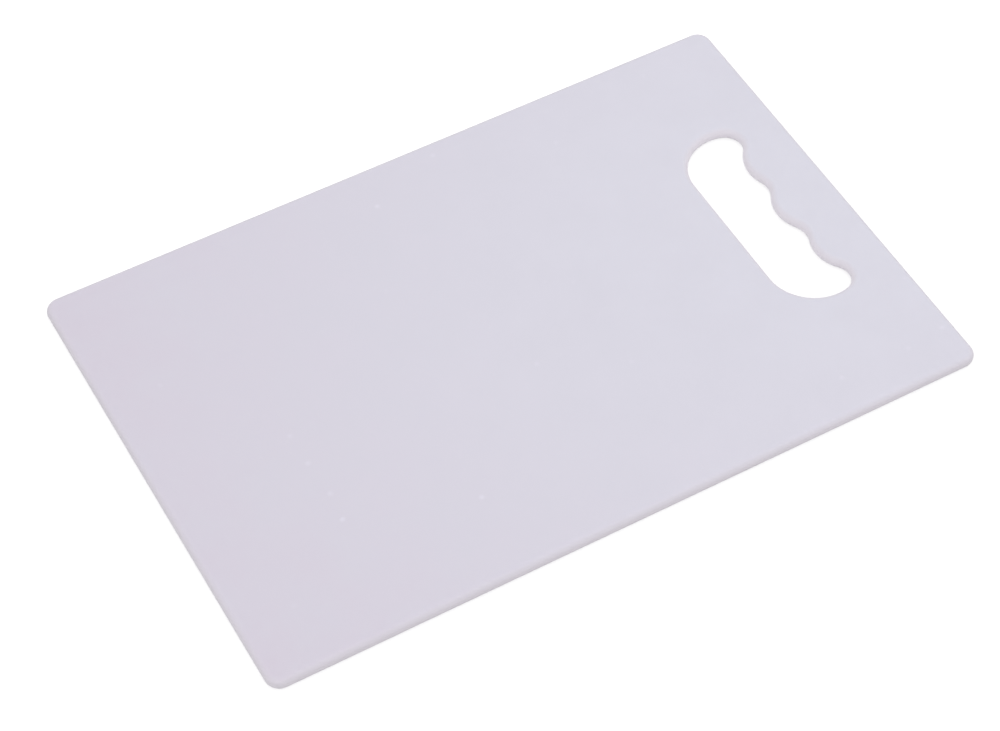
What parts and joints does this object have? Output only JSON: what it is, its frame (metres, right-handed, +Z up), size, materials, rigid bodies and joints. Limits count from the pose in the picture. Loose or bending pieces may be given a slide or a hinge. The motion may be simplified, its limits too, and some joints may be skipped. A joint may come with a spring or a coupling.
{
  "type": "cutting mat",
  "caption": "Flat rectangular plastic cutting mat with rounded rims and a scalloped four-finger hand slot across one end.",
  "frame": {"origin": "centre of the footprint, on the underside", "axes": "+X towards the end with the hand slot, along the length; +Y across the width; +Z up, through the thickness"},
  "size_m": [0.3, 0.2, 0.005],
  "materials": {
    "mat_plastic": "soft satin moulded plastic with a fine even grain, pale grey with a touch of lilac"
  },
  "bodies": {
    "root": {"cutting_mat": "mat_plastic"}
  },
  "joints": []
}
